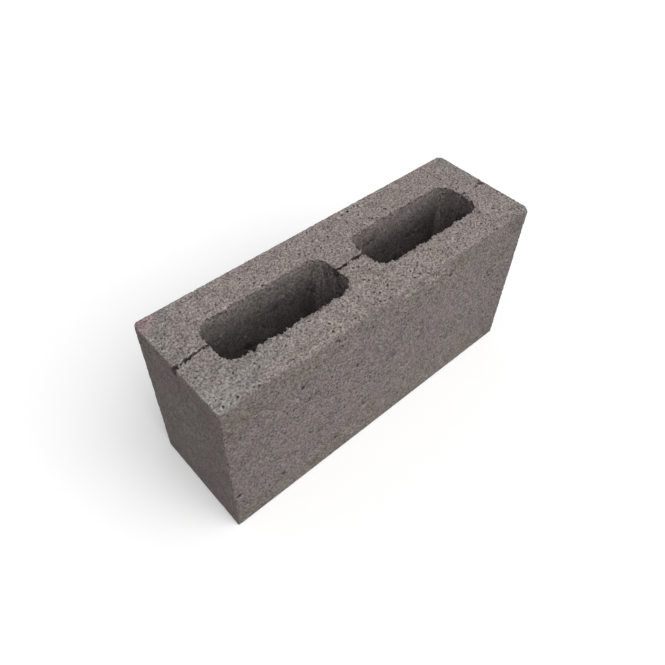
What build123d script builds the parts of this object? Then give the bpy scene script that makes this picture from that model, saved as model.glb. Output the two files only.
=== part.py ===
# Hollow concrete block: one vibration-pressed casting with a row of tapered cores
# that pass right through it, standing as it leaves its mould.
#
# Units are millimetres. +X runs along the length, +Y across the width and +Z up.
# The origin is the centre of the bottom bed face, which the block stands on.

from build123d import *

import os

# Overall size of the block
block_length = 440.0
block_width = 140.0
block_height = 215.0

# Walls, at the top bed face, where the cores are widest
face_shell = 40.0
end_web = 40.0
inner_web = 40.0

# Cores
core_count = 2
core_corner_radius = 18.0  # upright corners, at the top bed face
core_taper = 3.0  # how much each wall thickens from the top of a core to its bottom

# The mark of the mould's core bar: a narrow groove that crosses every web
groove_width = 5.0
groove_depth = 6.0
groove_floor_radius = 1.5

# Rounding of the arrises
outer_arris_radius = 2.0
core_mouth_radius = 1.5

core_width = block_width - 2 * face_shell
core_length = (block_length - 2 * end_web - (core_count - 1) * inner_web) / core_count
core_pitch = core_length + inner_web


def outer_block():
    # The mould box, with its arrises worn round.
    box = Box(
        block_length,
        block_width,
        block_height,
        align=(Align.CENTER, Align.CENTER, Align.MIN),
    )
    return fillet(box.edges(), outer_arris_radius)


def core_outline(height, inset):
    # A core's rounded rectangle at one height, drawn in by the taper so far.
    return Pos(0, 0, height) * RectangleRounded(
        core_length - 2 * inset,
        core_width - 2 * inset,
        core_corner_radius - inset,
    )


def core_void():
    # One core, widest at the top, with the same taper on all its walls.
    return loft([core_outline(0, core_taper), core_outline(block_height, 0)], ruled=True)


def core_places():
    # The cores stand in a row along the length, centred on the block.
    first = -core_pitch * (core_count - 1) / 2
    return [Pos(first + core_pitch * place, 0, 0) for place in range(core_count)]


def bed_face_rims(solid):
    # The edges round the core mouths, in the two bed faces.
    beds = solid.faces().filter_by(Axis.Z)
    return [edge for bed in beds for wire in bed.inner_wires() for edge in wire.edges()]


def core_bar_groove():
    # A trench with rounded floor corners along the whole top of the block.
    trench = Pos(0, 0, block_height - groove_depth) * Box(
        block_length,
        groove_width,
        groove_depth,
        align=(Align.CENTER, Align.CENTER, Align.MIN),
    )
    floor_edges = trench.faces().sort_by(Axis.Z)[0].edges().filter_by(Axis.X)
    return fillet(floor_edges, groove_floor_radius)


def concrete_block():
    block = outer_block()
    for place in core_places():
        block -= place * core_void()
    block = fillet(bed_face_rims(block), core_mouth_radius)
    return block - core_bar_groove()


os.makedirs("parts", exist_ok=True)
export_step(concrete_block(), "parts/concrete_block.step")
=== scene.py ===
import math

import bpy
from mathutils import Matrix, Vector


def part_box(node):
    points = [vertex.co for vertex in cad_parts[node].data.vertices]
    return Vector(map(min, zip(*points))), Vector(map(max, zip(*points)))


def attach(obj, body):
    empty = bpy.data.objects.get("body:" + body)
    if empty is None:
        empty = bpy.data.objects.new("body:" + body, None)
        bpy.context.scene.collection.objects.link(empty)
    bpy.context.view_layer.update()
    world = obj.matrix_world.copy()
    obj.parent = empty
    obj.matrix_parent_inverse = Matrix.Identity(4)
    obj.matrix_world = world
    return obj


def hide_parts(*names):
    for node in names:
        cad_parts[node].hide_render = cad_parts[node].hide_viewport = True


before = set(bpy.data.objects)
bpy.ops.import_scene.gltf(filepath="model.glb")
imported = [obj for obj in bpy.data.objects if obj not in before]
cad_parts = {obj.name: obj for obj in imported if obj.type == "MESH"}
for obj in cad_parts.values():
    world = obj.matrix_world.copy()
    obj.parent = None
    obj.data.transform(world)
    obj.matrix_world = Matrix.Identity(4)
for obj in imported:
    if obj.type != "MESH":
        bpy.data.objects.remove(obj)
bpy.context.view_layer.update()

blockLow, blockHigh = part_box("concrete_block")
halfLength = blockHigh.x
halfWidth = blockHigh.y
blockTop = blockHigh.z
millimetre = 0.001


# Small helpers for objects and edit mode

def deselectAll():
    if bpy.context.object and bpy.context.object.mode != "OBJECT":
        bpy.ops.object.mode_set(mode="OBJECT")
    bpy.ops.object.select_all(action="DESELECT")


def workOn(piece):
    deselectAll()
    piece.select_set(True)
    bpy.context.view_layer.objects.active = piece


def addBox(name, low, high):
    deselectAll()
    low, high = Vector(low), Vector(high)
    bpy.ops.mesh.primitive_cube_add(size=1, location=(low + high) / 2)
    piece = bpy.context.object
    piece.name = name
    bpy.ops.transform.resize(value=high - low)
    bpy.ops.object.transform_apply(location=True, rotation=True, scale=True)
    return piece


def clearPicks(piece, kind):  # nothing selected on the piece, ready to select edges or faces
    workOn(piece)
    bpy.ops.object.mode_set(mode="EDIT")
    bpy.ops.mesh.select_mode(type=kind)
    bpy.ops.mesh.select_all(action="DESELECT")
    bpy.ops.object.mode_set(mode="OBJECT")


def pickEdges(piece, wanted):  # leaves the piece in edit mode with those edges selected
    clearPicks(piece, "EDGE")
    points = piece.data.vertices
    for edge in piece.data.edges:
        edge.select = wanted(points[edge.vertices[0]].co, points[edge.vertices[1]].co)
    bpy.ops.object.mode_set(mode="EDIT")


def isUpright(first, second):
    return abs(first.z - second.z) > blockTop / 2


def applyModifier(piece, modifier):
    workOn(piece)
    bpy.ops.object.modifier_apply(modifier=modifier.name)


def cutAway(piece, cutter):
    cut = piece.modifiers.new("cut", "BOOLEAN")
    cut.operation = "DIFFERENCE"
    cut.solver = "EXACT"
    cut.object = cutter
    applyModifier(piece, cut)
    bpy.data.objects.remove(cutter)


# Small helpers for node trees

def feed(tree, socket, value):
    if isinstance(value, bpy.types.NodeSocket):
        tree.links.new(value, socket)
    else:
        socket.default_value = value


def addNode(tree, kind, inputs=None, **settings):
    node = tree.nodes.new(kind)
    for name, value in settings.items():
        setattr(node, name, value)
    for name, value in (inputs or {}).items():
        socket = next(s for s in node.inputs if s.name == name and s.enabled)
        feed(tree, socket, value)
    return node


def maths(tree, operation, *values):
    node = addNode(tree, "ShaderNodeMath", operation=operation)
    for socket, value in zip(node.inputs, values):
        feed(tree, socket, value)
    return node.outputs[0]


def vectorMaths(tree, operation, *values):
    node = addNode(tree, "ShaderNodeVectorMath", operation=operation)
    for socket, value in zip(node.inputs, values):
        feed(tree, socket, value)
    return next(socket for socket in node.outputs if socket.enabled)


def scaled(tree, vector, factor):
    node = addNode(tree, "ShaderNodeVectorMath", {"Vector": vector, "Scale": factor}, operation="SCALE")
    return node.outputs["Vector"]


def ease(tree, value, start, end, low=0.0, high=1.0):  # smooth step from low to high
    node = addNode(tree, "ShaderNodeMapRange", interpolation_type="SMOOTHSTEP")
    for name, number in (("Value", value), ("From Min", start), ("From Max", end),
                         ("To Min", low), ("To Max", high)):
        feed(tree, node.inputs[name], number)
    return node.outputs[0]


def addUp(tree, values):
    total = values[0]
    for value in values[1:]:
        total = maths(tree, "ADD", total, value)
    return total


def noise(tree, vector, scale, detail=2.0, roughness=0.5):
    node = addNode(tree, "ShaderNodeTexNoise",
                   {"Vector": vector, "Scale": scale, "Detail": detail, "Roughness": roughness})
    return node.outputs[0]


def patches(tree, vector, kind, bias=None):  # noise, eased between two levels to two values
    level = noise(tree, vector, kind["scale"], kind.get("detail", 2.0))
    if bias is not None:
        level = maths(tree, "ADD", level, bias)
    return ease(tree, level, *kind["levels"], *kind.get("values", (0.0, 1.0)))


def cells(tree, vector, size, shift):  # distance to a cell's middle, and its random numbers
    moved = vectorMaths(tree, "ADD", vector, shift)
    node = addNode(tree, "ShaderNodeTexVoronoi", {"Vector": moved, "Scale": 1 / size})
    chance = addNode(tree, "ShaderNodeSeparateXYZ", {"Vector": node.outputs["Color"]}).outputs
    return maths(tree, "MULTIPLY", node.outputs["Distance"], size), chance


def splitVector(tree, vector):
    node = addNode(tree, "ShaderNodeSeparateXYZ", {"Vector": vector})
    return node.outputs[0], node.outputs[1], node.outputs[2]


def newGeometryTree(name):
    tree = bpy.data.node_groups.new(name, "GeometryNodeTree")
    tree.interface.new_socket("Geometry", in_out="INPUT", socket_type="NodeSocketGeometry")
    tree.interface.new_socket("Geometry", in_out="OUTPUT", socket_type="NodeSocketGeometry")
    start = tree.nodes.new("NodeGroupInput")
    end = tree.nodes.new("NodeGroupOutput")
    return tree, start.outputs[0], end.inputs[0]


def applyTree(piece, tree):
    modifier = piece.modifiers.new(tree.name, "NODES")
    modifier.node_group = tree
    applyModifier(piece, modifier)


# The casting: a blank, its cores and the groove of the core bar

casting = {
    "faceShell": 40 * millimetre,  # walls at the top bed, where the cores are widest
    "endWeb": 40 * millimetre,
    "innerWeb": 40 * millimetre,
    "coreCount": 2,
    "coreCorner": 18 * millimetre,
    "coreCornerSteps": 10,
    "coreTaper": 3 * millimetre,
    "grooveRuns": [  # its open stretches in millimetres: start, end, width, depth and side shift
        (-230, -214, 5.2, 7.5, -1.0),
        (-216, -207, 2.8, 9.0, -0.8),
        (-209, -199, 3.8, 9.0, 0.6),
        (-201, -191, 2.8, 9.0, 1.8),
        (-193, -176, 3.4, 9.0, 2.3),
        (-24, -3, 4.0, 7.5, 0.0),
        (3, 24, 4.6, 9.0, 0.9),
        (178, 189, 2.6, 4.5, 0.4),
        (202, 210, 2.6, 3.4, -0.5),
        (212, 230, 4.0, 3.8, 0.3),
    ],
    "grooveRag": 0.32,  # how far the groove's sides wander, as a share of its width
    "grooveStep": 2.5,  # millimetres between the points that wander
    "arris": 2 * millimetre,
    "arrisSteps": 3,
    "openLayer": 1.5 * millimetre,  # the paste lies this far below the tops of the grit
    "overcut": 10 * millimetre,
}


def castBlank():
    bed = blockTop - casting["openLayer"]
    blank = addBox("castBlock", blockLow, (halfLength, halfWidth, bed))
    pickEdges(blank, lambda first, second: min(first.z, second.z) < casting["arris"])
    bpy.ops.mesh.bevel(offset=casting["arris"], segments=casting["arrisSteps"], affect="EDGES")
    bpy.ops.object.mode_set(mode="OBJECT")
    return blank


def coreInset(height):  # the taper draws a core in towards its bottom
    return casting["coreTaper"] * (1 - height / blockTop)


def corePitch():
    return (2 * (halfLength - casting["endWeb"]) + casting["innerWeb"]) / casting["coreCount"]


def coreEnds(place):  # where a core's end walls meet the top bed
    start = -halfLength + casting["endWeb"] + place * corePitch()
    return start, start + corePitch() - casting["innerWeb"]


def nearestCore(x):
    fromFirst = x - coreEnds(0)[0] + casting["innerWeb"] / 2
    return min(max(int(fromFirst // corePitch()), 0), casting["coreCount"] - 1)


def cutCores(blank):
    width = 2 * (halfWidth - casting["faceShell"])
    low = -casting["overcut"]
    high = blockTop + casting["overcut"]
    for place in range(casting["coreCount"]):
        start, end = coreEnds(place)
        middle = (start + end) / 2
        length = end - start
        topLength = length / 2 - coreInset(high)
        topWidth = width / 2 - coreInset(high)
        core = addBox("core", (middle - topLength, -topWidth, low),
                      (middle + topLength, topWidth, high))
        pickEdges(core, lambda first, second: max(first.z, second.z) < 0)
        shrink = ((length / 2 - coreInset(low)) / topLength,
                  (width / 2 - coreInset(low)) / topWidth, 1)
        bpy.ops.transform.resize(value=shrink, center_override=(middle, 0, low))
        pickEdges(core, isUpright)
        bpy.ops.mesh.bevel(offset=casting["coreCorner"], segments=casting["coreCornerSteps"],
                           affect="EDGES")
        bpy.ops.object.mode_set(mode="OBJECT")
        cutAway(blank, core)


def cutGroove(blank):
    for turn, (start, end, width, depth, shift) in enumerate(casting["grooveRuns"]):
        low = Vector((start, shift - width / 2, 0)) * millimetre
        high = Vector((end, shift + width / 2, 0)) * millimetre
        low.z = blockTop - depth * millimetre
        high.z = blockTop + casting["overcut"]
        groove = addBox("groove", low, high)
        pickEdges(groove, lambda first, second: abs(first.x - second.x) > millimetre)
        bpy.ops.mesh.subdivide(number_cuts=round((end - start) / casting["grooveStep"]))
        bpy.ops.mesh.select_all(action="SELECT")
        bpy.ops.transform.vertex_random(offset=casting["grooveRag"] * width * millimetre,
                                        uniform=1.0, seed=turn)
        bpy.ops.object.mode_set(mode="OBJECT")
        cutAway(blank, groove)


# The open top bed: grit pressed into the paste, fused to the casting

grit = [  # coarse, medium and fine, in millimetres; below is how far the tops lie under the bed
    {"gap": 4.4, "radius": (1.6, 2.8), "below": (-1.6, 0.0), "rounds": 3, "seed": 11},
    {"gap": 2.1, "radius": (0.9, 1.5), "below": (-0.9, 0.4), "rounds": 2, "seed": 23},
    {"gap": 1.5, "radius": (0.5, 0.8), "below": (-0.2, 1.0), "rounds": 2, "seed": 37},
]
gritRelief = {
    "crowd": 2.0,  # grains that are tried for each one that finds room
    "faceUp": 0.6,  # only faces that look up this much hold grit,
    "bedSkin": 3 * millimetre,  # and only this far below the top
    "grooveLine": 0.5 * millimetre,  # the middle of the groove
    "grooveClear": 1.2 * millimetre,
    "smallest": 0.5 * millimetre,
    "proud": 0.8,  # small grit stays in the paste: how far its middle may rise, in radii
    "openPatch": {"scale": 34.0, "levels": (0.45, 0.62),  # here the bed is open, and the grit lies deeper
                  "values": (0.0, 0.7 * millimetre)},
    "stretch": ((0.75, 0.75, 0.65), (1.25, 1.25, 1.0)),
    "lump": 1.8 * millimetre,
    "lumpScale": 420.0,
    "voxel": 0.7 * millimetre,
}


def randomNumber(tree, low, high, seed):
    node = addNode(tree, "FunctionNodeRandomValue", {"Min": low, "Max": high, "Seed": seed},
                   data_type="FLOAT")
    return node.outputs[1]


def randomVector(tree, low, high, seed):
    node = addNode(tree, "FunctionNodeRandomValue", {"Min": low, "Max": high, "Seed": seed},
                   data_type="FLOAT_VECTOR")
    return node.outputs[0]


def scatterGrit(tree, bed, onBed, kind, fromGroove, sunk):
    gap = kind["gap"] * millimetre
    seed = kind["seed"]
    points = addNode(tree, "GeometryNodeDistributePointsOnFaces",
                     {"Mesh": bed, "Selection": onBed, "Distance Min": gap,
                      "Density Max": gritRelief["crowd"] / gap ** 2, "Seed": seed},
                     distribute_method="POISSON")
    smallest, largest = kind["radius"]
    radius = randomNumber(tree, smallest * millimetre, largest * millimetre, seed)
    room = maths(tree, "SUBTRACT", fromGroove, gritRelief["grooveClear"])
    radius = maths(tree, "MAXIMUM", maths(tree, "MINIMUM", radius, room), gritRelief["smallest"])
    highest, lowest = kind["below"]
    below = randomNumber(tree, highest * millimetre, lowest * millimetre, seed + 1)
    below = maths(tree, "ADD", below, sunk)
    rise = maths(tree, "SUBTRACT", casting["openLayer"], maths(tree, "ADD", below, radius))
    rise = maths(tree, "MINIMUM", rise, maths(tree, "MULTIPLY", radius, gritRelief["proud"]))
    lift = addNode(tree, "ShaderNodeCombineXYZ", {"Z": rise})
    seated = addNode(tree, "GeometryNodeSetPosition",
                     {"Geometry": points.outputs["Points"], "Offset": lift.outputs[0]})
    shortest, longest = gritRelief["stretch"]
    stretch = randomVector(tree, shortest, longest, seed + 2)
    turn = randomVector(tree, (0, 0, 0), (math.tau,) * 3, seed + 3)
    pebble = addNode(tree, "GeometryNodeMeshIcoSphere",
                     {"Radius": 1.0, "Subdivisions": kind["rounds"]})
    placed = addNode(tree, "GeometryNodeInstanceOnPoints",
                     {"Points": seated.outputs[0], "Instance": pebble.outputs["Mesh"],
                      "Rotation": turn, "Scale": scaled(tree, stretch, radius)})
    return addNode(tree, "GeometryNodeRealizeInstances", {"Geometry": placed.outputs[0]}).outputs[0]


def pressGrit(blank):
    tree, bed, result = newGeometryTree("openBedGrit")
    position = addNode(tree, "GeometryNodeInputPosition").outputs[0]
    normal = addNode(tree, "GeometryNodeInputNormal").outputs[0]
    faceUp = splitVector(tree, normal)[2]
    x, y, height = splitVector(tree, position)
    fromGroove = maths(tree, "ABSOLUTE", maths(tree, "SUBTRACT", y, gritRelief["grooveLine"]))
    isUp = maths(tree, "GREATER_THAN", faceUp, gritRelief["faceUp"])
    isHigh = maths(tree, "GREATER_THAN", height, blockTop - gritRelief["bedSkin"])
    onBed = maths(tree, "MULTIPLY", isUp, isHigh)
    sunk = patches(tree, position, gritRelief["openPatch"])
    join = addNode(tree, "GeometryNodeJoinGeometry")
    for kind in grit:
        stones = scatterGrit(tree, bed, onBed, kind, fromGroove, sunk)
        lump = maths(tree, "SUBTRACT", noise(tree, position, gritRelief["lumpScale"], 1.0), 0.5)
        push = scaled(tree, normal, maths(tree, "MULTIPLY", lump, gritRelief["lump"]))
        lumpy = addNode(tree, "GeometryNodeSetPosition", {"Geometry": stones, "Offset": push})
        tree.links.new(lumpy.outputs[0], join.inputs[0])
    tree.links.new(bed, join.inputs[0])
    tree.links.new(join.outputs[0], result)
    applyTree(blank, tree)
    fuse = blank.modifiers.new("fuse", "REMESH")
    fuse.mode = "VOXEL"
    fuse.voxel_size = gritRelief["voxel"]
    applyModifier(blank, fuse)


# Weathering: pits, torn arrises, worn corners and the marks of the mould

weather = {
    "bedLayer": (7 * millimetre, 4 * millimetre),  # below the top: the bed's wear gives way to the walls'
    "floorLayer": (0.5 * millimetre, 3 * millimetre),  # the bottom bed stays flat
    "floorWear": 0.15,
    "bedRough": {"scale": 620.0, "levels": (0.42, 0.75), "values": (0.0, 0.6 * millimetre)},
    "bedVoid": {"cell": 4.2, "radius": (0.3, 1.5), "depth": 2.6, "shift": (0.0, 0.0, 0.0), "shake": 1.4},
    "pressedRim": 4 * millimetre,  # the mould's wall fills the bed along the outer arrises
    "rimFill": 0.85,
    "wallWave": 0.3 * millimetre,
    "waveScale": 22.0,
    "finePit": {"cell": 7.0, "radius": (0.4, 1.7), "depth": 1.8, "shift": (0.3, 0.1, 0.7), "shake": 0.9},
    "pitPatches": {"scale": 16.0, "levels": (0.35, 0.65), "values": (0.35, 1.0)},  # of the fine pits
    "coarsePit": {"cell": 26.0, "radius": (1.0, 2.2), "depth": 2.0, "shift": (0.9, 0.4, 0.2), "shake": 0.9},
    "pitWall": (1.0, 0.55),  # a pit's rim and floor, in its radii
    "shakeScale": 380.0,
    "namedPits": [(-125, 170, 2.8), (-35, 61, 2.6), (-77, 32, 2.9), (-213, 60, 3.1),
                  (-155, 39, 3.0), (87, 190, 2.5), (-50, 144, 2.2)],  # on the front: x, z and radius
    "pitDrawn": 0.85,  # the named pits are taller than they are wide
    "namedShake": 0.4 * millimetre,
    "namedWall": (1.0, 0.7),
    "namedDepth": 2.9 * millimetre,
    "namedClear": (1.3, 2.6),  # other pits keep this many radii away
    "keptPit": 0.3 * millimetre,  # a pit deeper than this keeps its points when the mesh is thinned
    "arrisReach": 5 * millimetre,
    "arrisBite": {"scale": 170.0, "detail": 3.0, "levels": (0.45, 0.68), "values": (0.0, 0.9 * millimetre)},
    "wornCorners": [((1, -1), 3.3), ((1, 1), 2.6), ((-1, 1), 2.0), ((-1, -1), 1.0)],  # how much is lost
    "cornerBall": 25 * millimetre,  # the lost corners are rounded off by a ball set this far in
    "cornerReach": 20 * millimetre,
    "cornerRag": 1.4 * millimetre,
    "ragScale": 220.0,
    "crumble": {"scale": 150.0, "detail": 3.0, "levels": (0.46, 0.62),  # loss along the core mouths
                "values": (0.0, 2.4 * millimetre)},
    "crumbleReach": 5 * millimetre,
    "crumbleDepth": (10 * millimetre, 5 * millimetre),
    "crumbleSide": (5 * millimetre, -15 * millimetre),  # most is lost on the near sides
    "farCrumble": 0.3,
    "outerSkin": 20 * millimetre,  # the core walls lie further in than this
    "tornWall": {"scale": 230.0, "levels": (0.3, 0.7),  # the near half of each core's right-hand end wall
                 "values": (0.0, 1.0 * millimetre)},
    "hollowReach": 10,  # rounds of smoothing that a hollow is measured against
    "crumb": 2000,  # points
    "triangles": 196000,
    "weld": 0.001 * millimetre,
}


def warp(tree, position, scale, reach):  # shakes a pattern so that its cells aren't round
    node = addNode(tree, "ShaderNodeTexNoise", {"Vector": position, "Scale": scale, "Detail": 1.0})
    centred = vectorMaths(tree, "SUBTRACT", node.outputs["Color"], (0.5, 0.5, 0.5))
    return vectorMaths(tree, "ADD", position, scaled(tree, centred, 2 * reach))


def pits(tree, position, kind):
    shaken = warp(tree, position, weather["shakeScale"], kind["shake"] * millimetre)
    distance, chance = cells(tree, shaken, kind["cell"] * millimetre, kind["shift"])
    low, high = kind["radius"]
    reach = ease(tree, chance[0], 0.0, 1.0, low * millimetre, high * millimetre)
    bowl = ease(tree, maths(tree, "DIVIDE", distance, reach), *weather["pitWall"])
    return maths(tree, "MULTIPLY", bowl, kind["depth"] * millimetre)


def fromNamedPit(tree, position):  # along the front from the nearest named pit, in its radii
    shaken = warp(tree, position, weather["shakeScale"], weather["namedShake"])
    nearest = 10.0  # further than any use of it reaches
    for x, z, radius in weather["namedPits"]:
        away = vectorMaths(tree, "SUBTRACT", shaken, (x * millimetre, -halfWidth, z * millimetre))
        away = vectorMaths(tree, "MULTIPLY", away, (1, 0, weather["pitDrawn"]))
        radii = maths(tree, "DIVIDE", vectorMaths(tree, "LENGTH", away), radius * millimetre)
        nearest = maths(tree, "MINIMUM", nearest, radii)
    return nearest


def onFront(tree, position):
    y = splitVector(tree, position)[1]
    return ease(tree, y, -halfWidth + 9 * millimetre, -halfWidth + 7 * millimetre)


def outerDistances(tree, position):  # from the ends, the faces and the beds
    x, y, z = splitVector(tree, position)
    fromEnd = maths(tree, "SUBTRACT", halfLength, maths(tree, "ABSOLUTE", x))
    fromFace = maths(tree, "SUBTRACT", halfWidth, maths(tree, "ABSOLUTE", y))
    fromBed = maths(tree, "MINIMUM", z, maths(tree, "SUBTRACT", blockTop, z))
    return fromEnd, fromFace, fromBed


def arrisDistance(tree, position):  # from the nearest of the twelve outer arrises
    fromEnd, fromFace, fromBed = outerDistances(tree, position)
    upright = maths(tree, "MAXIMUM", fromEnd, fromFace)
    across = maths(tree, "MAXIMUM", fromEnd, fromBed)
    along = maths(tree, "MAXIMUM", fromFace, fromBed)
    return maths(tree, "MINIMUM", upright, maths(tree, "MINIMUM", across, along))


def roundCorners(tree, position):
    rag = maths(tree, "SUBTRACT", noise(tree, position, weather["ragScale"]), 0.5)
    rag = maths(tree, "MULTIPLY", rag, weather["cornerRag"])
    inset = weather["cornerBall"]
    for (xSide, ySide), loss in weather["wornCorners"]:
        corner = Vector((xSide * halfLength, ySide * halfWidth, blockTop))
        middle = corner - Vector((xSide, ySide, 1)) * inset
        reach = maths(tree, "ADD", rag, inset * math.sqrt(3) - loss * millimetre)
        away = vectorMaths(tree, "SUBTRACT", position, middle)
        shrunk = maths(tree, "DIVIDE", reach, vectorMaths(tree, "LENGTH", away))
        shrunk = maths(tree, "MINIMUM", shrunk, 1.0)
        fromCorner = vectorMaths(tree, "DISTANCE", position, corner)
        near = maths(tree, "LESS_THAN", fromCorner, weather["cornerReach"])
        factor = ease(tree, near, 0.0, 1.0, 1.0, shrunk)
        position = vectorMaths(tree, "ADD", middle, scaled(tree, away, factor))
    return position


def coreDistance(tree, position):  # from the outline of the nearest core, seen from above
    x, y = splitVector(tree, position)[:2]
    start = coreEnds(0)[0] - casting["innerWeb"] / 2
    along = maths(tree, "FLOORED_MODULO", maths(tree, "SUBTRACT", x, start), corePitch())
    along = maths(tree, "ABSOLUTE", maths(tree, "SUBTRACT", along, corePitch() / 2))
    corner = casting["coreCorner"]
    halfCore = (corePitch() - casting["innerWeb"]) / 2 - corner
    halfGap = halfWidth - casting["faceShell"] - corner
    past = maths(tree, "MAXIMUM", maths(tree, "SUBTRACT", along, halfCore), 0.0)
    aside = maths(tree, "MAXIMUM", maths(tree, "SUBTRACT", maths(tree, "ABSOLUTE", y), halfGap), 0.0)
    out = addNode(tree, "ShaderNodeCombineXYZ", {"X": past, "Y": aside}).outputs[0]
    return maths(tree, "SUBTRACT", vectorMaths(tree, "LENGTH", out), corner)


def blurred(tree, vector, rounds):
    node = addNode(tree, "GeometryNodeBlurAttribute", {"Value": vector, "Iterations": rounds},
                   data_type="FLOAT_VECTOR")
    return next(socket for socket in node.outputs if socket.enabled)


def keepInMould(tree, place):
    return vectorMaths(tree, "MINIMUM", vectorMaths(tree, "MAXIMUM", place, blockLow), blockHigh)


def weatherBlock(blank):
    tree, casted, result = newGeometryTree("weathering")
    position = addNode(tree, "GeometryNodeInputPosition").outputs[0]
    normal = addNode(tree, "GeometryNodeInputNormal").outputs[0]
    x, y, z = splitVector(tree, position)
    onBed = ease(tree, z, *[blockTop - depth for depth in weather["bedLayer"]])
    onWall = maths(tree, "SUBTRACT", 1.0, onBed)
    offFloor = ease(tree, z, *weather["floorLayer"], weather["floorWear"], 1.0)

    bedRough = patches(tree, position, weather["bedRough"])
    voids = pits(tree, position, weather["bedVoid"])
    bedWear = maths(tree, "MULTIPLY", maths(tree, "ADD", bedRough, voids), onBed)

    wave = noise(tree, position, weather["waveScale"])
    wave = maths(tree, "MULTIPLY", wave, weather["wallWave"])
    patchy = patches(tree, position, weather["pitPatches"])
    small = maths(tree, "MULTIPLY", pits(tree, position, weather["finePit"]), patchy)
    large = pits(tree, position, weather["coarsePit"])
    fromNamed = fromNamedPit(tree, position)
    clear = ease(tree, fromNamed, *weather["namedClear"])
    small = maths(tree, "MULTIPLY", small, clear)
    large = maths(tree, "MULTIPLY", large, clear)
    wallWear = maths(tree, "MULTIPLY", addUp(tree, [wave, small, large]), onWall)

    nearArris = ease(tree, arrisDistance(tree, position), weather["arrisReach"], 0.0)
    arrisWear = maths(tree, "MULTIPLY", nearArris, patches(tree, position, weather["arrisBite"]))

    inShell = maths(tree, "LESS_THAN", maths(tree, "ABSOLUTE", y), halfWidth - weather["outerSkin"])
    inWebs = maths(tree, "LESS_THAN", maths(tree, "ABSOLUTE", x), halfLength - weather["outerSkin"])
    facesLeft = ease(tree, splitVector(tree, normal)[0], -0.3, -0.8)
    nearHalf = ease(tree, y, 1 * millimetre, -1 * millimetre)
    torn = patches(tree, position, weather["tornWall"])
    for part in (inShell, inWebs, facesLeft, nearHalf, onWall):
        torn = maths(tree, "MULTIPLY", torn, part)

    fromCore = maths(tree, "ABSOLUTE", coreDistance(tree, position))
    nearCore = ease(tree, fromCore, weather["crumbleReach"], 0.0)
    nearTop = ease(tree, z, *[blockTop - depth for depth in weather["crumbleDepth"]])
    nearSide = ease(tree, y, *weather["crumbleSide"], weather["farCrumble"], 1.0)
    crumbled = patches(tree, position, weather["crumble"])
    for part in (nearCore, nearTop, nearSide, inWebs):
        crumbled = maths(tree, "MULTIPLY", crumbled, part)

    named = ease(tree, fromNamed, *weather["namedWall"], 0.0, weather["namedDepth"])
    named = maths(tree, "MULTIPLY", named, onFront(tree, position))
    wallPit = maths(tree, "MULTIPLY", addUp(tree, [small, large, named]), onWall)
    wear = addUp(tree, [bedWear, wallWear, arrisWear, torn, crumbled, named])
    wear = maths(tree, "MULTIPLY", wear, offFloor)
    inward = scaled(tree, normal, maths(tree, "MULTIPLY", wear, -1.0))
    moved = vectorMaths(tree, "ADD", position, inward)

    fromEnd, fromFace = outerDistances(tree, moved)[:2]
    nearRim = ease(tree, maths(tree, "MINIMUM", fromEnd, fromFace), weather["pressedRim"], 0.0,
                   0.0, weather["rimFill"])
    upper = maths(tree, "MULTIPLY", onBed, nearRim)
    gap = maths(tree, "SUBTRACT", blockTop, splitVector(tree, moved)[2])
    fill = addNode(tree, "ShaderNodeCombineXYZ", {"Z": maths(tree, "MULTIPLY", gap, upper)})
    filled = vectorMaths(tree, "ADD", moved, fill.outputs[0])
    worn = roundCorners(tree, keepInMould(tree, filled))
    marked = addNode(tree, "GeometryNodeStoreNamedAttribute",
                     {"Geometry": casted, "Name": "keptPits",
                      "Value": maths(tree, "GREATER_THAN", wallPit, weather["keptPit"])},
                     data_type="FLOAT", domain="POINT")
    pressed = addNode(tree, "GeometryNodeSetPosition",  # the tamper levels the grit
                      {"Geometry": marked.outputs[0], "Position": keepInMould(tree, position)})
    placed = addNode(tree, "GeometryNodeSetPosition", {"Geometry": pressed.outputs[0], "Position": worn})
    tree.links.new(placed.outputs[0], result)
    blank.vertex_groups.new(name="keptPits")
    applyTree(blank, tree)


def dropCrumbs(blank):  # grit that hangs on to nothing
    tree, casted, result = newGeometryTree("crumbs")
    island = addNode(tree, "GeometryNodeInputMeshIsland").outputs["Island Index"]
    size = addNode(tree, "GeometryNodeAccumulateField", {"Value": 1.0, "Group ID": island},
                   data_type="FLOAT", domain="POINT").outputs["Total"]
    crumb = maths(tree, "LESS_THAN", size, weather["crumb"])
    kept = addNode(tree, "GeometryNodeDeleteGeometry", {"Geometry": casted, "Selection": crumb})
    tree.links.new(kept.outputs[0], result)
    applyTree(blank, tree)


def thinMesh(blank):
    thin = blank.modifiers.new("thin", "DECIMATE")
    thin.ratio = weather["triangles"] / (2 * len(blank.data.polygons))
    thin.use_collapse_triangulate = True
    thin.vertex_group = "keptPits"
    thin.invert_vertex_group = True
    applyModifier(blank, thin)
    blank.vertex_groups.clear()
    tree, casted, result = newGeometryTree("trueToMould")
    position = addNode(tree, "GeometryNodeInputPosition").outputs[0]
    trued = addNode(tree, "GeometryNodeSetPosition",
                    {"Geometry": casted, "Position": keepInMould(tree, position)})
    tree.links.new(trued.outputs[0], result)
    applyTree(blank, tree)


def dropFlaps(blank):  # slivers that the mould's walls press flat, front to back
    clearPicks(blank, "FACE")
    points = blank.data.vertices
    unpaired = {}
    for face in blank.data.polygons:
        corners = frozenset(tuple(points[index].co) for index in face.vertices)
        twin = unpaired.pop(corners, None)
        if twin is None:
            unpaired[corners] = face
        else:
            face.select = True
            twin.select = True
    bpy.ops.object.mode_set(mode="EDIT")
    bpy.ops.mesh.delete(type="FACE")
    bpy.ops.mesh.select_all(action="SELECT")
    bpy.ops.mesh.remove_doubles(threshold=weather["weld"])
    bpy.ops.object.mode_set(mode="OBJECT")


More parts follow.
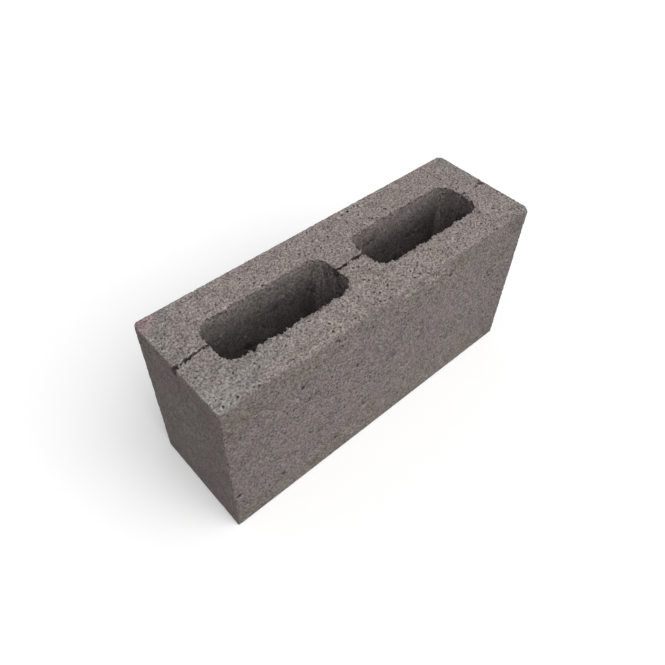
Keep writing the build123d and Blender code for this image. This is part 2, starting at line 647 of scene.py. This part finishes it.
def markHollows(blank):  # above zero in pits and crevices, below zero on arrises and grains
    tree, casted, result = newGeometryTree("hollows")
    position = addNode(tree, "GeometryNodeInputPosition").outputs[0]
    normal = addNode(tree, "GeometryNodeInputNormal").outputs[0]
    gap = vectorMaths(tree, "SUBTRACT", blurred(tree, position, weather["hollowReach"]), position)
    hollow = vectorMaths(tree, "DOT_PRODUCT", gap, normal)
    store = addNode(tree, "GeometryNodeStoreNamedAttribute",
                    {"Geometry": casted, "Name": "hollow", "Value": hollow},
                    data_type="FLOAT", domain="POINT")
    tree.links.new(store.outputs[0], result)
    applyTree(blank, tree)


# A flat map of the whole block, for when the concrete is baked to one picture

bakeSheet = {  # millimetres of a square sheet; each side has its left, its foot and its scale
    "width": 910,
    "top": (10, 10, 2.0),
    "front": (10, 300, 1.0),
    "back": (455, 300, 1.0),
    "left": (10, 525, 1.0),
    "right": (155, 525, 1.0),
    "bottom": (10, 750, 1.0),
    "coreWalls": (305, 525, 0.65),
    "coreStrips": (0, 107, 214, 256, 298),  # where a core's four walls and the next core begin
    "skin": 8 * millimetre,  # a face this far off a side counts as turned away from it
}


def sheetSide(place, facing, start, across, up):
    left, foot, scale = place
    return left, foot, scale / millimetre, Vector(facing), Vector(start), Vector(across), Vector(up)


def outerSides():
    low = (-halfLength, -halfWidth, 0)
    high = (halfLength, halfWidth, 0)
    head = (-halfLength, -halfWidth, blockTop)
    return [sheetSide(bakeSheet["top"], (0, 0, 1), head, (1, 0, 0), (0, 1, 0)),
            sheetSide(bakeSheet["bottom"], (0, 0, -1), low, (1, 0, 0), (0, 1, 0)),
            sheetSide(bakeSheet["front"], (0, -1, 0), low, (1, 0, 0), (0, 0, 1)),
            sheetSide(bakeSheet["back"], (0, 1, 0), high, (-1, 0, 0), (0, 0, 1)),
            sheetSide(bakeSheet["left"], (-1, 0, 0), low, (0, 1, 0), (0, 0, 1)),
            sheetSide(bakeSheet["right"], (1, 0, 0), high, (0, -1, 0), (0, 0, 1))]


def coreSides(place):
    low, high = coreEnds(place)
    side = halfWidth - casting["faceShell"]
    walls = [((0, -1, 0), (low, side, 0), (1, 0, 0)), ((0, 1, 0), (low, -side, 0), (1, 0, 0)),
             ((-1, 0, 0), (high, -side, 0), (0, 1, 0)), ((1, 0, 0), (low, -side, 0), (0, 1, 0))]
    left, foot, scale = bakeSheet["coreWalls"]
    strips = bakeSheet["coreStrips"]
    sides = []
    for strip, (facing, start, across) in zip(strips, walls):
        spot = (left + place * strips[-1] + strip, foot, scale)
        sides.append(sheetSide(spot, facing, start, across, (0, 0, 1)))
    return sides


def sideFit(side, middle, normal):  # best where a face looks the same way and lies near
    facing, start = side[3], side[4]
    return facing.dot(normal) - abs(facing.dot(middle - start)) / bakeSheet["skin"]


def layBakeMap(block):
    mesh = block.data
    sheet = mesh.uv_layers.new(name="OFBake")
    outer = outerSides()
    sides = [outer + coreSides(place) for place in range(casting["coreCount"])]
    for face in mesh.polygons:
        middle, normal = face.center, face.normal
        near = sides[nearestCore(middle.x)]
        best = max(near, key=lambda side: sideFit(side, middle, normal))
        left, foot, scale, facing, start, across, up = best
        for corner in face.loop_indices:
            place = mesh.vertices[mesh.loops[corner].vertex_index].co - start
            sheet.data[corner].uv = ((left + scale * place.dot(across)) / bakeSheet["width"],
                                     (foot + scale * place.dot(up)) / bakeSheet["width"])


# Concrete: mauve-grey paste with sandy grains, clouds of colour and dark pits; painted shade in the pits,
# crevices, pores, groove and cores, and painted highlights on the top bed

concrete = {
    "paste": (0.270, 0.232, 0.221, 1.0),
    "greyCloud": (0.238, 0.222, 0.209, 1.0),
    "greyPatches": {"scale": 15.0, "detail": 3.0, "levels": (0.42, 0.62)},
    "wallGrey": -0.17,  # more or less grey on the walls and along the top bed
    "leftGrey": (-0.20, 0.05),
    "rightGrey": (0.0, 0.20),
    "tanCloud": (0.252, 0.221, 0.198, 1.0),
    "tanPatches": {"scale": 28.0, "detail": 3.0, "levels": (0.54, 0.72)},
    "footTan": (0.0, 0.20),  # more tan near the foot and the head of the walls, less on the bed
    "headTan": (0.02, 0.12),
    "bedTan": 0.35,
    "redCloud": (0.264, 0.217, 0.205, 1.0),
    "redPatches": {"scale": 18.0, "levels": (0.46, 0.62)},
    "stains": [  # place and reach in millimetres, and colour
        ((-212, 70, 215), 22, (0.300, 0.208, 0.218, 1.0)),
        ((218, 1, 213), 7, (0.120, 0.070, 0.078, 1.0)),
    ],
    "stainStrength": 0.85,
    "paleGrain": (0.50, 0.46, 0.44, 1.0),
    "paleCell": 9.0,  # pale grains, in millimetres
    "paleRadius": (2.2, 1.2),
    "paleShare": (0.72, 0.94),
    "wallPale": 0.3,
    # the colour of pits and crevices: painted shade in them, and dirt
    "pitShadeAndDirt": (0.070, 0.060, 0.056, 1.0),
    "hollowShadeAndDirt": (0.08, 1.0),  # millimetres of hollow from no painted shade and dirt to full
    "hollowShading": (0.8, 0.5),  # how strong the painted shade and dirt in hollows is, outside and in the cores
    "grainScale": 420.0,
    "grainLevels": (0.32, 0.68),
    "wallMottle": (0.54, 1.50),  # how far sand and paste differ in tone
    "bedMottle": (0.58, 1.44),
    "sandTone": {"scale": 1100.0, "levels": (0.3, 0.7), "values": (0.75, 1.25)},
    "bedPatch": {"scale": 75.0, "levels": (0.3, 0.7), "values": (-0.13, 0.13)},  # tone of the top bed
    "bedTone": (1.02, 1.08),  # tone of the top bed at its far and near sides
    "cornerHighlight": 0.15,  # painted highlight: the near left corner of the top is paler
    "endTone": 0.90,  # the ends and the faces next to them are darker
    "endReach": 85 * millimetre,
    "endBlotch": {"scale": 60.0, "detail": 3.0, "levels": (0.3, 0.7), "values": (-0.08, 0.08)},
    "poreCell": 4.2,  # the pores that are too small to model, painted as dark dots of painted shade, in millimetres
    "poreRadius": (0.2, 1.8),
    "poreCrowds": {"scale": 36.0, "levels": (0.38, 0.62), "values": (0.4, 1.0)},
    "poreShade": 0.72,
    "corePores": 0.7,  # smaller in the cores
    "bedPores": 0.45,  # and fainter on the top bed
    "poreClear": (1.3, 2.4),  # they keep this many radii away from a named pit
    "coreShade": (0.84, 0.31),  # tone of the core walls at their mouth and deep down: painted shade
    "rightMouth": 0.06,  # the right-hand core's mouth gets this much less painted shade, so it is lighter
    "shadeReach": (0, 50),
    "lessShadedEnd": 0.68,  # the right-hand end wall of each core gets less painted shade
    "grooveShade": 0.75,
    "wornHighlight": 0.2,  # proud grains of the top bed are painted this much lighter: rubbed wear and a painted highlight
    "wornProud": (-0.25, -0.8),
    "arrisHighlight": (-165, -45),  # painted highlight: where the bed is palest along the front's top arris
    "arrisHighlightTone": (0.04, 0.20),
    "arrisShade": -0.17,  # painted shade: the arris itself is painted as dark as the front
    "scuff": (6, 86),  # where the front is rubbed pale under that arris
    "scuffPatches": {"scale": 160.0, "levels": (0.35, 0.60)},
    "scuffTone": 0.65,
    "roughness": {"scale": 240.0, "levels": (0.3, 0.7), "values": (0.86, 0.97)},
    "specular": 0.3,
    "bump": 0.6,
    "bumpHeight": 0.6 * millimetre,
    "bumpScale": 900.0,
    "poreDepth": -1.5,
}


def mixColour(tree, factor, first, second, blend="MIX"):
    node = addNode(tree, "ShaderNodeMix", data_type="RGBA", blend_type=blend)
    feed(tree, node.inputs[0], factor)
    feed(tree, node.inputs[6], first)
    feed(tree, node.inputs[7], second)
    return node.outputs[2]


def inCore(tree, position):  # on the core walls, from just under their mouths down
    x, y, z = splitVector(tree, position)
    inWidth = halfWidth - casting["faceShell"] + 2 * millimetre
    inLength = halfLength - casting["endWeb"] + 2 * millimetre
    within = maths(tree, "LESS_THAN", maths(tree, "ABSOLUTE", y), inWidth)
    between = maths(tree, "LESS_THAN", maths(tree, "ABSOLUTE", x), inLength)
    under = ease(tree, maths(tree, "SUBTRACT", blockTop, z), 3 * millimetre, 9 * millimetre)
    return maths(tree, "MULTIPLY", maths(tree, "MULTIPLY", within, between), under)


def poreMask(tree, position):
    shaken = warp(tree, position, 600.0, 0.6 * millimetre)
    distance, chance = cells(tree, shaken, concrete["poreCell"] * millimetre, (0.2, 0.6, 0.4))
    low, high = concrete["poreRadius"]
    reach = ease(tree, chance[0], 0.2, 1.0, low * millimetre, high * millimetre)
    reach = maths(tree, "MULTIPLY", reach, patches(tree, position, concrete["poreCrowds"]))
    shrink = ease(tree, inCore(tree, position), 0.0, 1.0, 1.0, concrete["corePores"])
    reach = maths(tree, "MULTIPLY", reach, shrink)
    return ease(tree, maths(tree, "DIVIDE", distance, reach), 1.0, 0.7)


def coreShade(tree, position):  # painted shade: the core walls are painted darker, the more so deeper down
    x, y, z = splitVector(tree, position)
    below = maths(tree, "SUBTRACT", blockTop, z)
    mouth, deep = concrete["coreShade"]
    start, end = concrete["shadeReach"]
    web = casting["innerWeb"] / 2
    atMouth = ease(tree, x, -web, web, 1.0 - mouth, 1.0 - mouth - concrete["rightMouth"])
    shadeAmount = ease(tree, below, start * millimetre, end * millimetre, atMouth, 1.0 - deep)
    lastWall = halfLength - casting["endWeb"]
    fromEnd = maths(tree, "FLOORED_MODULO", maths(tree, "SUBTRACT", lastWall, x), corePitch())
    endLessShaded = ease(tree, fromEnd, 10 * millimetre, 4 * millimetre, 1.0, 1.0 - concrete["lessShadedEnd"])
    shadeAmount = maths(tree, "MULTIPLY", maths(tree, "MULTIPLY", shadeAmount, inCore(tree, position)), endLessShaded)
    return maths(tree, "SUBTRACT", 1.0, shadeAmount)


def grooveShade(tree, position):  # painted shade and dirt in the groove
    x, y, z = splitVector(tree, position)
    aside = maths(tree, "ABSOLUTE", maths(tree, "SUBTRACT", y, gritRelief["grooveLine"]))
    inGroove = ease(tree, aside, 4.5 * millimetre, 2.5 * millimetre, 0.0, concrete["grooveShade"])
    below = maths(tree, "SUBTRACT", blockTop, z)
    sunk = ease(tree, below, 1.8 * millimetre, 3.2 * millimetre)
    reach = ease(tree, x, 30 * millimetre, 170 * millimetre, 12 * millimetre, 4 * millimetre)
    notDeep = ease(tree, maths(tree, "SUBTRACT", below, reach), 2 * millimetre, -2 * millimetre)
    shade = maths(tree, "MULTIPLY", maths(tree, "MULTIPLY", inGroove, sunk), notDeep)
    return maths(tree, "SUBTRACT", 1.0, shade)


def cloudColour(tree, position):
    x, y, z = splitVector(tree, position)
    onTop = ease(tree, z, blockTop - 8 * millimetre, blockTop - 4 * millimetre)
    towardsLeft = ease(tree, x, -90 * millimetre, -180 * millimetre, *concrete["leftGrey"])
    towardsRight = ease(tree, x, 180 * millimetre, 212 * millimetre, *concrete["rightGrey"])
    alongTop = maths(tree, "ADD", towardsLeft, towardsRight)
    bias = ease(tree, onTop, 0.0, 1.0, concrete["wallGrey"], alongTop)
    grey = patches(tree, position, concrete["greyPatches"], bias)
    colour = mixColour(tree, grey, concrete["paste"], concrete["greyCloud"])

    shifted = vectorMaths(tree, "ADD", position, (0.37, 0.11, 0.83))
    nearFoot = ease(tree, z, 70 * millimetre, 5 * millimetre, *concrete["footTan"])
    nearHead = ease(tree, z, blockTop - 70 * millimetre, blockTop - 15 * millimetre, *concrete["headTan"])
    tan = patches(tree, shifted, concrete["tanPatches"], maths(tree, "ADD", nearFoot, nearHead))
    tan = maths(tree, "MULTIPLY", tan, ease(tree, onTop, 0.0, 1.0, 1.0, concrete["bedTan"]))
    colour = mixColour(tree, tan, colour, concrete["tanCloud"])

    onLeftEnd = ease(tree, x, -halfLength + 6 * millimetre, -halfLength + 2 * millimetre)
    red = maths(tree, "MULTIPLY", patches(tree, shifted, concrete["redPatches"]), onLeftEnd)
    colour = mixColour(tree, red, colour, concrete["redCloud"])

    for place, reach, stainColour in concrete["stains"]:
        away = vectorMaths(tree, "DISTANCE", position, Vector(place) * millimetre)
        stain = ease(tree, away, reach * millimetre, 0.35 * reach * millimetre,
                     0.0, concrete["stainStrength"])
        colour = mixColour(tree, stain, colour, stainColour)
    return colour


def faceTone(tree, position):  # broad differences in tone between and across the faces, with painted highlights at the near left corner and along the front's top arris and painted shade on that arris
    x, y, z = splitVector(tree, position)
    onTop = ease(tree, z, blockTop - 6 * millimetre, blockTop - 3 * millimetre)
    fromEnd = outerDistances(tree, position)[0]
    wall = ease(tree, fromEnd, 0.0, concrete["endReach"], concrete["endTone"], 1.0)
    onEnd = ease(tree, fromEnd, 6 * millimetre, 2 * millimetre)
    blotch = maths(tree, "MULTIPLY", patches(tree, position, concrete["endBlotch"]), onEnd)
    wall = maths(tree, "ADD", wall, blotch)
    farTone, nearTone = concrete["bedTone"]
    bed = ease(tree, y, -15 * millimetre, -50 * millimetre, farTone, nearTone)
    # painted highlight at the near left corner of the top
    corner = Vector((-halfLength + 10 * millimetre, -halfWidth + 8 * millimetre, blockTop))
    away = vectorMaths(tree, "DISTANCE", position, corner)
    paleHighlight = ease(tree, away, 30 * millimetre, 8 * millimetre, 0.0, concrete["cornerHighlight"])
    # painted highlight along the front's top arris
    start, end = concrete["arrisHighlight"]
    amid = maths(tree, "ABSOLUTE", maths(tree, "SUBTRACT", x, (start + end) / 2 * millimetre))
    along = ease(tree, amid, (end - start) / 2 * millimetre, (end - start) / 4 * millimetre,
                 *concrete["arrisHighlightTone"])
    edge = ease(tree, y, -halfWidth + 7 * millimetre, -halfWidth + 3.5 * millimetre, 0.0, along)
    # painted shade: the top bed's edge at the front is painted as dark as the front
    arrisShading = ease(tree, y, -halfWidth + 2.4 * millimetre, -halfWidth + 1.6 * millimetre,
                  0.0, concrete["arrisShade"])
    return ease(tree, onTop, 0.0, 1.0, wall, addUp(tree, [bed, paleHighlight, edge, arrisShading]))


def wallPitShade(tree, position):  # painted shade in pits: how dark a pit is painted by its depth below the ends and the faces
    fromEnd, fromFace = outerDistances(tree, position)[:2]
    depth = maths(tree, "MINIMUM", fromEnd, fromFace)
    inWall = maths(tree, "LESS_THAN", depth, 7 * millimetre)
    below = maths(tree, "SUBTRACT", blockTop, splitVector(tree, position)[2])
    underBed = ease(tree, below, 4 * millimetre, 8 * millimetre)
    dark = ease(tree, depth, 0.4 * millimetre, 1.3 * millimetre, 0.0, 0.85)
    dark = maths(tree, "MULTIPLY", maths(tree, "MULTIPLY", dark, inWall), underBed)
    named = ease(tree, fromNamedPit(tree, position), 1.0, 0.8)
    return maths(tree, "MAXIMUM", dark, maths(tree, "MULTIPLY", named, onFront(tree, position)))


def scuffShade(tree, position):  # a rubbed patch under the front's top arris
    x, y, z = splitVector(tree, position)
    start, end = concrete["scuff"]
    middle = (start + end) / 2 * millimetre
    reach = (end - start) / 2 * millimetre
    amid = maths(tree, "ABSOLUTE", maths(tree, "SUBTRACT", x, middle))
    along = ease(tree, amid, reach, 0.7 * reach)
    out = maths(tree, "ADD", maths(tree, "SUBTRACT", blockTop, z), maths(tree, "ADD", y, halfWidth))
    near = ease(tree, out, 24 * millimetre, 10 * millimetre)
    under = ease(tree, z, blockTop - 3 * millimetre, blockTop - 6 * millimetre)
    amount = patches(tree, position, concrete["scuffPatches"])
    for part in (along, near, under, concrete["scuffTone"]):
        amount = maths(tree, "MULTIPLY", amount, part)
    return maths(tree, "ADD", 1.0, amount)


def concreteMaterial():
    material = bpy.data.materials.new("pressedConcrete")
    material.use_nodes = True
    tree = material.node_tree
    shader = tree.nodes["Principled BSDF"]
    position = addNode(tree, "ShaderNodeTexCoord").outputs["Object"]
    hollow = addNode(tree, "ShaderNodeAttribute", attribute_name="hollow").outputs["Fac"]

    height = splitVector(tree, position)[2]
    onBed = ease(tree, height, blockTop - 6 * millimetre, blockTop - 3 * millimetre)
    grain = noise(tree, position, concrete["grainScale"], 3.0, 0.7)
    wallMottle = ease(tree, grain, *concrete["grainLevels"], *concrete["wallMottle"])
    bedMottle = ease(tree, grain, *concrete["grainLevels"], *concrete["bedMottle"])
    mottle = ease(tree, onBed, 0.0, 1.0, wallMottle, bedMottle)
    sand = patches(tree, position, concrete["sandTone"])
    faint = ease(tree, onBed, 0.0, 1.0, 1.0, concrete["bedPores"])
    clear = ease(tree, fromNamedPit(tree, position), *concrete["poreClear"])
    pore = maths(tree, "MULTIPLY", maths(tree, "MULTIPLY", poreMask(tree, position), faint), clear)
    # the pores are painted dark: painted shade of holes too small to model
    tone = maths(tree, "SUBTRACT", 1.0, maths(tree, "MULTIPLY", pore, concrete["poreShade"]))
    patch = maths(tree, "MULTIPLY", patches(tree, position, concrete["bedPatch"]), onBed)
    patch = maths(tree, "ADD", patch, 1.0)
    # proud grains of the top bed are painted lighter: rubbed wear and a painted highlight
    paleHighlight = ease(tree, onBed, 0.0, 1.0, 1.0, 1.0 + concrete["wornHighlight"])
    start, end = concrete["wornProud"]
    worn = ease(tree, hollow, start * millimetre, end * millimetre, 1.0, paleHighlight)
    for shade in (mottle, sand, patch, worn, faceTone(tree, position), coreShade(tree, position),
                  grooveShade(tree, position), scuffShade(tree, position)):
        tone = maths(tree, "MULTIPLY", tone, shade)
    toneColour = addNode(tree, "ShaderNodeCombineColor", {"Red": tone, "Green": tone, "Blue": tone})
    colour = mixColour(tree, 1.0, cloudColour(tree, position), toneColour.outputs[0], "MULTIPLY")

    shaken = warp(tree, position, 420.0, 1.2 * millimetre)
    distance, chance = cells(tree, shaken, concrete["paleCell"] * millimetre, (0.5, 0.2, 0.9))
    outer, inner = concrete["paleRadius"]
    inGrain = ease(tree, distance, outer * millimetre, inner * millimetre)
    isPale = maths(tree, "MULTIPLY", inGrain, ease(tree, chance[0], *concrete["paleShare"]))
    isPale = maths(tree, "MULTIPLY", isPale, ease(tree, onBed, 0.0, 1.0, concrete["wallPale"], 1.0))
    colour = mixColour(tree, isPale, colour, concrete["paleGrain"])

    # pits and crevices are painted darker: painted shade where light is shut out, and dirt
    hollowShading = ease(tree, inCore(tree, position), 0.0, 1.0, *concrete["hollowShading"])
    clean, filled = concrete["hollowShadeAndDirt"]
    shadeAndDirt = ease(tree, hollow, clean * millimetre, filled * millimetre, 0.0, hollowShading)
    shadeAndDirt = maths(tree, "MAXIMUM", shadeAndDirt, wallPitShade(tree, position))
    colour = mixColour(tree, shadeAndDirt, colour, concrete["pitShadeAndDirt"])
    feed(tree, shader.inputs["Base Color"], colour)

    feed(tree, shader.inputs["Roughness"], patches(tree, position, concrete["roughness"]))
    shader.inputs["Specular IOR Level"].default_value = concrete["specular"]
    relief = addUp(tree, [mottle, noise(tree, position, concrete["bumpScale"], 3.0),
                          maths(tree, "MULTIPLY", pore, concrete["poreDepth"])])
    bump = addNode(tree, "ShaderNodeBump", {"Strength": concrete["bump"],
                                            "Distance": concrete["bumpHeight"], "Height": relief})
    feed(tree, shader.inputs["Normal"], bump.outputs["Normal"])
    return material


# The stage: pale floor, soft light and the photograph's camera

stage = {
    "floorReach": 8.0,
    "floorColour": 0.97,
    "floorBounce": 0.25,  # what the floor throws back on the block
    "floorGlow": 0.1,  # lifts the floor to white for the camera alone
    "skyLight": 0.32,
    "keyLight": 2.40,
    "keyDirection": (0.06, -0.52, 0.85),  # towards the light
    "keySoftness": 60,
}
camera = {
    "eye": (-0.3616, -0.3570, 0.6744),
    "aim": (-0.0147, 0.0079, 0.1036),
    "roll": 2.09,
    "lens": 34.76,
}


def seenRays(tree):  # camera rays, and these with the rays by way of gloss and glass
    seen = addNode(tree, "ShaderNodeLightPath").outputs
    shown = addUp(tree, [seen["Is Camera Ray"], seen["Is Glossy Ray"], seen["Is Transmission Ray"]])
    return seen["Is Camera Ray"], shown


def floorMaterial():
    material = bpy.data.materials.new("paleFloor")
    material.use_nodes = True
    tree = material.node_tree
    shader = tree.nodes["Principled BSDF"]
    cameraRay, shown = seenRays(tree)
    bounce, plain = stage["floorBounce"], stage["floorColour"]
    colour = mixColour(tree, maths(tree, "MINIMUM", shown, 1.0),
                       (bounce, bounce, bounce, 1.0), (plain, plain, plain, 1.0))
    feed(tree, shader.inputs["Base Color"], colour)
    glow = maths(tree, "MULTIPLY", cameraRay, stage["floorGlow"])
    feed(tree, shader.inputs["Emission Strength"], glow)
    shader.inputs["Emission Color"].default_value = (1.0, 1.0, 1.0, 1.0)
    shader.inputs["Roughness"].default_value = 1.0
    shader.inputs["Specular IOR Level"].default_value = 0.0
    return material


def layFloor():
    deselectAll()
    bpy.ops.mesh.primitive_plane_add(size=2 * stage["floorReach"], location=(0, 0, blockLow.z))
    floor = bpy.context.object
    floor.name = "floor"
    floor.data.materials.append(floorMaterial())


def lightStage():
    world = bpy.data.worlds.new("softSky")
    bpy.context.scene.world = world
    world.use_nodes = True
    tree = world.node_tree
    background = tree.nodes["Background"]
    background.inputs["Color"].default_value = (1, 1, 1, 1)
    shown = seenRays(tree)[1]
    strength = ease(tree, shown, 0.0, 1.0, stage["skyLight"], 1.0)
    feed(tree, background.inputs["Strength"], strength)
    deselectAll()
    bpy.ops.object.light_add(type="SUN")
    key = bpy.context.object
    key.name = "keyLight"
    key.data.energy = stage["keyLight"]
    key.data.angle = math.radians(stage["keySoftness"])
    key.rotation_mode = "QUATERNION"
    key.rotation_quaternion = Vector(stage["keyDirection"]).to_track_quat("Z", "Y")


def placeCamera():
    deselectAll()
    bpy.ops.object.camera_add(location=camera["eye"])
    seat = bpy.context.object
    look = Vector(camera["aim"]) - Vector(camera["eye"])
    turn = look.to_track_quat("-Z", "Y").to_matrix()
    seat.rotation_euler = (turn @ Matrix.Rotation(math.radians(camera["roll"]), 3, "Z")).to_euler()
    seat.data.sensor_width = 36.0
    seat.data.lens = camera["lens"]
    bpy.context.scene.camera = seat


# Build

block = castBlank()
cutCores(block)
cutGroove(block)
print("casting cut:", len(block.data.polygons), "faces")
pressGrit(block)
print("grit fused:", len(block.data.polygons), "faces")
weatherBlock(block)
dropCrumbs(block)
markHollows(block)
thinMesh(block)
dropFlaps(block)
print("weathered and thinned:", len(block.data.polygons), "triangles")
layBakeMap(block)
print("bake map laid")
workOn(block)
bpy.ops.object.shade_smooth()
block.data.materials.clear()
block.data.materials.append(concreteMaterial())
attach(block, "root")
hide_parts("concrete_block")

layFloor()
lightStage()
placeCamera()
bpy.context.scene.view_settings.view_transform = "Standard"
print("stage set")
